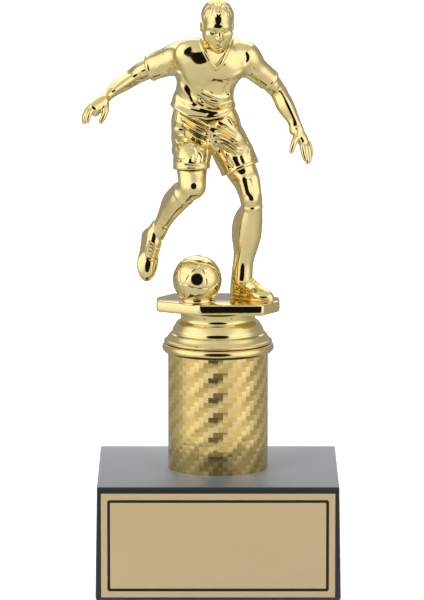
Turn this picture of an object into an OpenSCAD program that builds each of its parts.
// Figure trophy: a footballer and ball on a round foil column and a weighted block base.
// Origin at the centre of the base's underside, +Z up, +X to the right, the front towards -Y.

/* [Base] */
// Width of the base block at its foot
base_w = 92.4; // [84:0.2:110]
// Depth of the base block at its foot
base_d = 82.4; // [70:0.2:100]
// Height of the base with its felt
base_h = 44; // [40:0.5:60]
// Lean of each side wall, in degrees
base_draft = 0.8; // [0.2:0.1:1.5]
// Bevel around the top of the base
base_bevel = 0.7; // [0.3:0.1:1.5]
// Thickness of the base's side walls
base_wall = 3; // [2:0.5:5]
// Thickness of the felt under the base
felt_t = 1; // [0.5:0.1:2]

/* [Engraving plate] */
// Width of the plate
plate_w = 88; // [60:1:90]
// Height of the plate
plate_h = 39.6; // [25:0.2:40]
// Thickness of the plate
plate_t = 0.6; // [0.4:0.1:1]
// Thickness of the adhesive behind the plate
adhesive_t = 0.15; // [0.1:0.05:0.3]
// Gap between the plate's lower edge and the felt
plate_lift = 1; // [0.5:0.1:2]

/* [Column] */
// Outer diameter of the column with its foil
column_d = 38.1; // [36:0.1:50]
// Length of the column tube
column_h = 45.2; // [40:0.2:150]
// Wall of the tube
tube_wall = 2; // [1.5:0.1:3]
// Thickness of the printed foil
foil_t = 0.15; // [0.1:0.05:0.3]
// Thickness of the plug that centres the tube's foot
plug_h = 6; // [4:0.5:10]

/* [Collar and riser] */
// Widest diameter of the collar ring
collar_d = 42.6; // [41:0.1:44]
// Height of the collar ring
collar_h = 3.8; // [3:0.1:6]
// Diameter of the riser's rim
riser_rim_d = 41.4; // [39:0.1:42.5]
// Diameter of the riser's step
riser_step_d = 34.8; // [32:0.1:38]
// Diameter of the riser's neck
riser_neck_d = 27.4; // [24:0.1:30]
// Height of the riser above the collar
riser_h = 12.1; // [11:0.1:16]

/* [Platform] */
// Length of the platform's long sides
platform_side = 24; // [18:0.5:26]
// Sideways reach of the platform's corners from its centre
platform_reach = 23.4; // [20:0.1:25]
// Depth of the platform
platform_d = 28; // [24:0.5:32]
// Thickness of the platform
platform_t = 4.3; // [3.5:0.1:6]

/* [Player and ball] */
// Height of the player above the platform
player_h = 115; // [100:1:120]
// Diameter of the ball
ball_d = 18.5; // [15:0.1:20]

/* [Hardware] */
// Diameter of the threaded tie rod
rod_d = 6.35; // [6:0.05:6.5]
// Size across the flats of the hexagon nuts
nut_flats = 11.1; // [10:0.1:12]
// Height of the hexagon nuts
nut_h = 5.6; // [4.5:0.1:6]
// Outer diameter of the flat washer
washer_d = 22; // [18:0.5:25]
// Thickness of each washer
washer_t = 1.6; // [1:0.1:2]

/* [Hidden] */

// Clearances: for parts that slide together, that turn in each other, and for the rod's passage
fit_gap = 0.1;
turn_gap = 0.05;
rod_hole_d = rod_d + 0.65;
skin = 0.01;

// Base, from the floor up
base_top_t = 4;
boss_d = 15;
pocket_d = 30;
pocket_top = felt_t + 14;
shell_ceiling = base_h - base_top_t;
weight_gap = 0.2;
weight_foot = felt_t + 1.5;

// Stack above the base
column_top = base_h + column_h;
collar_foot = column_top - 0.6;
collar_top = collar_foot + collar_h;
riser_top = collar_top + riser_h;
platform_foot = riser_top + turn_gap;
platform_top = platform_foot + platform_t;
tube_d = column_d - 2 * foil_t;
tube_bore_d = tube_d - 2 * tube_wall;

// Riser and the platform's spigot, which turns in the riser's neck
riser_rim_t = 0.8;
riser_skirt = 6;
riser_wall = 2.2;
spigot_d = 17.8;
spigot_h = 7.4;
riser_web = 3;

// Tie rod
rod_foot = felt_t + 3.4;
rod_top = platform_top - 1.8;
washer_foot = pocket_top - washer_t;
lock_foot = washer_foot - washer_t;
clamp_nut_foot = lock_foot - turn_gap - nut_h;
nut_corners = nut_flats / cos(30);
captive_nut_foot = platform_foot - nut_h;

// Place of the ball on the platform, and of the pegs under the ball and the player
ball_at = [-7.9, -6];
ball_sink = 1.4;
peg_d = 3;
peg_h = 2.6;
player_peg_at = [11.5, -2.5];

// The player's joints, from the middle of the platform's top, for a player 115 mm tall
figure_unit_h = 115;
head_at = [-0.2, -6.3, 106.6];
jaw_at = [0.5, -9.2, 101.2];
neck_top = [-0.3, -4, 99.5];
neck_foot = [-1, -0.5, 93];
chest_at = [-2, 0, 88.5];
ribs_at = [-4, 0, 80];
waist_at = [-4.8, 1, 73.5];
pelvis_at = [-3.2, 2.2, 65];
shoulder_kick = [-12.2, 0.5, 91];
cuff_kick = [-24.5, 3.5, 88];
elbow_kick = [-32.4, 5.5, 85.3];
wrist_kick = [-42.8, -1.5, 77.4];
palm_kick = [-46.4, -3.6, 73.9];
tips_kick = [-49.6, -6, 69.4];
thumb_kick = [-44.6, -7.8, 70.2];
shoulder_stand = [9.6, 0.5, 91.8];
cuff_stand = [18.5, 5.5, 83];
elbow_stand = [22.6, 8, 78.6];
wrist_stand = [30.4, 4, 65];
palm_stand = [32, 2.4, 59.8];
tips_stand = [33.4, 0, 53.4];
thumb_stand = [28, -1.2, 57.2];
hip_kick = [-9, 3, 61];
hem_kick = [-9.4, -8.5, 53.2];
knee_kick = [-9.8, -13, 44.4];
calf_kick = [-16.4, -4.6, 34];
ankle_kick = [-24.2, 4, 24];
hip_stand = [4.2, 2, 61];
hem_stand = [8.4, -2.6, 50.5];
knee_stand = [12.2, -6.4, 37.6];
calf_stand = [11.4, -3, 28.5];
ankle_stand = [8.9, -0.5, 9.5];
heel_stand = [6.6, 1, 0];
toe_stand = [18.4, -7.4, 0];
heel_kick = [-26.4, 5.6, 20.6];
ball_kick = [-26.2, -0.6, 13.2];
toe_kick = [-26.6, -1.6, 9.6];

base_colour = [0.06, 0.07, 0.08];
gold = [0.85, 0.76, 0.48];
warm_gold = [0.83, 0.66, 0.30];
steel = [0.72, 0.73, 0.75];

// A box that leans in on all four sides towards its top, with a bevel around the top
module drafted_box(w, d, h, bevel) {
    lean = h * tan(base_draft);
    intersection() {
        rotate([90, 0, 0]) linear_extrude(height = 2 * d, center = true) drafted_outline(w, h, lean, bevel);
        rotate([90, 0, 90]) linear_extrude(height = 2 * w, center = true) drafted_outline(d, h, lean, bevel);
    }
}

module drafted_outline(w, h, lean, bevel) {
    polygon([
        [-w / 2, 0], [w / 2, 0],
        [w / 2 - lean, h - bevel], [w / 2 - lean - bevel, h],
        [-w / 2 + lean + bevel, h], [-w / 2 + lean, h - bevel]
    ]);
}

// A tube or ring standing on the XY plane
module ring(outer_d, inner_d, h) {
    difference() {
        cylinder(d = outer_d, h = h, $fn = 96);
        translate([0, 0, -1]) cylinder(d = inner_d, h = h + 2, $fn = 96);
    }
}

module hex_nut() {
    difference() {
        cylinder(d = nut_corners, h = nut_h, $fn = 6);
        translate([0, 0, -1]) cylinder(d = rod_d + 2 * turn_gap, h = nut_h + 2, $fn = 48);
    }
}

// A plate against the base's front wall, as far out as stand_off
module front_panel(thickness, stand_off, margin) {
    front_foot = [0, -base_d / 2, felt_t];
    translate(front_foot) rotate([-base_draft, 0, 0])
        translate([-plate_w / 2 + margin, -stand_off - thickness, plate_lift + margin])
            cube([plate_w - 2 * margin, thickness, plate_h - 2 * margin]);
}

module base_shell() {
    color(base_colour) difference() {
        translate([0, 0, felt_t]) drafted_box(base_w, base_d, base_h - felt_t, base_bevel);
        difference() {
            translate([0, 0, felt_t - 1])
                drafted_box(base_w - 2 * base_wall, base_d - 2 * base_wall, shell_ceiling - felt_t + 1, 0.2);
            translate([0, 0, pocket_top]) cylinder(d = boss_d, h = base_h, $fn = 64);
        }
        cylinder(d = rod_hole_d, h = 2 * base_h, $fn = 48);
    }
}

// The cast weight stands clear of the shell's walls and holds the nut's pocket
module base_weight() {
    inset = base_wall + weight_gap;
    color([0.55, 0.55, 0.53]) difference() {
        translate([0, 0, weight_foot])
            drafted_box(base_w - 2 * inset, base_d - 2 * inset, shell_ceiling - weight_gap - weight_foot, 0.5);
        cylinder(d = boss_d + 2 * weight_gap, h = 2 * base_h, $fn = 64);
        cylinder(d = pocket_d, h = pocket_top, $fn = 64);
    }
}

module base_felt() {
    felt_inset = 0.3;
    color([0.10, 0.10, 0.11]) translate([-base_w / 2 + felt_inset, -base_d / 2 + felt_inset, 0])
        cube([base_w - 2 * felt_inset, base_d - 2 * felt_inset, felt_t]);
}

module plate_adhesive() {
    color([0.92, 0.92, 0.88]) front_panel(adhesive_t, 0, 1);
}

module engraving_plate() {
    color([0.76, 0.68, 0.51]) front_panel(plate_t, adhesive_t, 0);
}

module column_plug() {
    color([0.15, 0.15, 0.15]) translate([0, 0, base_h]) ring(tube_bore_d - fit_gap, rod_hole_d, plug_h);
}

module column_tube() {
    color([0.80, 0.78, 0.70]) translate([0, 0, base_h]) ring(tube_d, tube_bore_d, column_h);
}

module column_foil() {
    color([0.80, 0.66, 0.33]) translate([0, 0, base_h]) ring(column_d, tube_d, column_h);
}

// The collar's lip drops over the top of the column, and its bead stands proud all round
module column_collar() {
    bead_r = collar_h / 2;
    lip_r = column_d / 2 + fit_gap;
    color(warm_gold) translate([0, 0, collar_foot]) rotate_extrude($fn = 96) difference() {
        union() {
            translate([collar_d / 2 - bead_r, bead_r]) circle(r = bead_r, $fn = 48);
            translate([tube_bore_d / 2, 0.3]) square([collar_d / 2 - bead_r - tube_bore_d / 2, collar_h - 0.3]);
        }
        translate([0, -1]) square([lip_r, 1 + column_top - collar_foot]);
        translate([0, -1]) square([tube_bore_d / 2, collar_h + 2]);
    }
}

module riser() {
    cone_foot = riser_rim_t;
    step_z = riser_h * 0.32;
    neck_z = riser_h * 0.66;
    skirt_r = tube_bore_d / 2 - fit_gap;
    color(gold) translate([0, 0, collar_top]) difference() {
        rotate_extrude($fn = 96) polygon([
            [0, -riser_skirt - collar_h], [skirt_r, -riser_skirt - collar_h], [skirt_r, 0],
            [riser_rim_d / 2, 0], [riser_rim_d / 2, cone_foot],
            [riser_step_d / 2 + 0.6, step_z], [riser_step_d / 2, step_z], [riser_step_d / 2, step_z + 0.8],
            [riser_neck_d / 2 + 0.8, neck_z], [riser_neck_d / 2, neck_z + 0.6],
            [riser_neck_d / 2, riser_h], [0, riser_h]
        ]);
        translate([0, 0, -riser_skirt - collar_h - 1])
            cylinder(r = skirt_r - riser_wall, h = riser_skirt + collar_h + 1 + skin, $fn = 96);
        translate([0, 0, riser_web]) cylinder(d = spigot_d + 2 * turn_gap, h = riser_h, $fn = 96);
        translate([0, 0, -1]) cylinder(d = rod_hole_d, h = riser_web + 2, $fn = 48);
    }
}

module platform_outline() {
    half_d = platform_d / 2;
    corner_y = platform_d * 0.168;
    right_x = platform_side - 7;
    polygon([
        [-platform_reach, -corner_y], [right_x - platform_side, -half_d],
        [right_x, -half_d], [platform_reach, -corner_y],
        [platform_reach, corner_y], [platform_side - right_x, half_d],
        [-right_x, half_d], [-platform_reach, corner_y]
    ]);
}

// The slab with its bevelled edges, and the spigot that holds the captive nut
module platform() {
    bevel = 0.5;
    color(gold) difference() {
        union() {
            hull() {
                translate([0, 0, platform_foot + bevel]) linear_extrude(height = platform_t - 2 * bevel)
                    platform_outline();
                translate([0, 0, platform_foot]) linear_extrude(height = platform_t)
                    scale([1 - 2 * bevel / platform_reach, 1 - 2 * bevel / platform_d]) platform_outline();
            }
            translate([0, 0, platform_foot - spigot_h]) cylinder(d = spigot_d, h = spigot_h + 1, $fn = 96);
        }
        translate([0, 0, platform_foot - spigot_h - 1])
            cylinder(d = nut_corners + fit_gap, h = spigot_h + 1, $fn = 6);
        translate([0, 0, platform_foot - 1]) cylinder(d = rod_d + fit_gap, h = rod_top - platform_foot + 1.2, $fn = 48);
        for (at = [ball_at, player_peg_at])
            translate([at[0], at[1], platform_top - peg_h - 0.2]) cylinder(d = peg_d + fit_gap, h = platform_t, $fn = 32);
    }
}

module captive_nut() {
    color(steel) translate([0, 0, captive_nut_foot]) hex_nut();
}

module tie_rod() {
    color(steel) translate([0, 0, rod_foot]) cylinder(d = rod_d, h = rod_top - rod_foot, $fn = 64);
}

module flat_washer() {
    color(steel) translate([0, 0, washer_foot]) ring(washer_d, rod_hole_d, washer_t);
}

// A split spring washer
module lock_washer() {
    split = 1.2;
    lock_d = rod_d * 1.9;
    color(steel) translate([0, 0, lock_foot]) difference() {
        ring(lock_d, rod_hole_d, washer_t);
        translate([rod_d / 4, -split / 2, -1]) cube([lock_d, split, washer_t + 2]);
    }
}

module clamp_nut() {
    color(steel) translate([0, 0, clamp_nut_foot]) hex_nut();
}

// The ball on its short round foot, with a peg below
module ball() {
    foot_d = ball_d * 0.62;
    foot_h = ball_sink + 0.6;
    color(gold) translate([ball_at[0], ball_at[1], platform_top]) {
        difference() {
            translate([0, 0, ball_d / 2 - ball_sink + 0.6]) sphere(d = ball_d, $fn = 96);
            translate([-ball_d, -ball_d, -2 * ball_d]) cube(2 * ball_d);
        }
        cylinder(d = foot_d, h = foot_h, $fn = 64);
        translate([0, 0, -peg_h]) cylinder(d = peg_d, h = peg_h + 1, $fn = 32);
    }
}

// A tapered limb with round ends
module limb(from, from_r, to, to_r) {
    hull() {
        translate(from) sphere(r = from_r, $fn = 18);
        translate(to) sphere(r = to_r, $fn = 18);
    }
}

// An ellipsoid of half-sizes size
module bulge(at, size) {
    translate(at) scale(size) sphere(r = 1, $fn = 20);
}

module head() {
    hull() {
        bulge(head_at, [6, 7.4, 7.6]);
        bulge(jaw_at, [3.6, 4, 4.4]);
    }
    limb(neck_top, 4.4, neck_foot, 5);
}

module torso() {
    hull() {
        bulge(neck_foot, [7, 5, 3]);
        bulge(chest_at, [13, 8, 6]);
        bulge(ribs_at, [12, 7.6, 6]);
    }
    hull() {
        bulge(ribs_at, [12, 7.6, 6]);
        bulge(waist_at, [12.2, 8.6, 6]);
    }
}

module shorts() {
    hull() {
        bulge(waist_at, [11, 8, 5]);
        bulge(pelvis_at, [13.4, 9, 8]);
    }
    hull() {
        bulge(pelvis_at + [-5, 0, 0], [8.4, 8.6, 7]);
        bulge(hip_kick, [8, 8, 6]);
        bulge(hem_kick, [7, 6, 3.6]);
    }
    hull() {
        bulge(pelvis_at + [5, 0, 0], [8.4, 8.6, 7]);
        bulge(hip_stand, [7.6, 8, 6]);
        bulge(hem_stand, [7.4, 7.2, 3.6]);
    }
}

module arm(shoulder, cuff, elbow, wrist, palm, tips, thumb) {
    limb(shoulder, 5.6, cuff, 5);
    limb(cuff, 3.8, elbow, 3.2);
    limb(elbow, 3.2, wrist, 2.2);
    hull() {
        translate(wrist) sphere(r = 2.1, $fn = 18);
        bulge(palm, [2.6, 2.4, 3]);
    }
    limb(palm, 2.2, tips, 1.2);
    limb((wrist + palm) / 2, 1.5, thumb, 1);
}

module kicking_leg() {
    limb(hip_kick, 6.2, knee_kick, 4.6);
    limb(knee_kick, 4.4, calf_kick, 5);
    limb(calf_kick, 5, ankle_kick, 3.4);
    hull() {
        translate(ankle_kick) sphere(r = 3.4, $fn = 18);
        translate(heel_kick) sphere(r = 3.2, $fn = 18);
        translate(ball_kick) sphere(r = 3.6, $fn = 18);
        translate(toe_kick) sphere(r = 2.4, $fn = 18);
    }
}

module standing_leg() {
    sole_t = 1.4;
    limb(hip_stand, 6.2, knee_stand, 4.2);
    limb(knee_stand, 4.2, calf_stand, 5.2);
    limb(calf_stand, 5.2, ankle_stand, 3.4);
    hull() {
        translate(ankle_stand) sphere(r = 3.6, $fn = 18);
        translate(heel_stand) cylinder(r = 3.2, h = sole_t, $fn = 24);
        translate(toe_stand) cylinder(r = 2.8, h = sole_t, $fn = 24);
        translate(toe_stand + [-3.4, 2.2, 2.4]) sphere(r = 2.6, $fn = 18);
    }
}

module player() {
    color(gold) translate([0, 0, platform_top]) {
        scale(player_h / figure_unit_h) {
            head();
            torso();
            shorts();
            arm(shoulder_kick, cuff_kick, elbow_kick, wrist_kick, palm_kick, tips_kick, thumb_kick);
            arm(shoulder_stand, cuff_stand, elbow_stand, wrist_stand, palm_stand, tips_stand, thumb_stand);
            kicking_leg();
            standing_leg();
        }
        translate([player_peg_at[0], player_peg_at[1], -peg_h]) cylinder(d = peg_d, h = peg_h + 1, $fn = 32);
    }
}

base_shell();
base_weight();
base_felt();
plate_adhesive();
engraving_plate();
column_plug();
column_tube();
column_foil();
column_collar();
riser();
platform();
captive_nut();
player();
ball();
tie_rod();
flat_washer();
lock_washer();
clamp_nut();
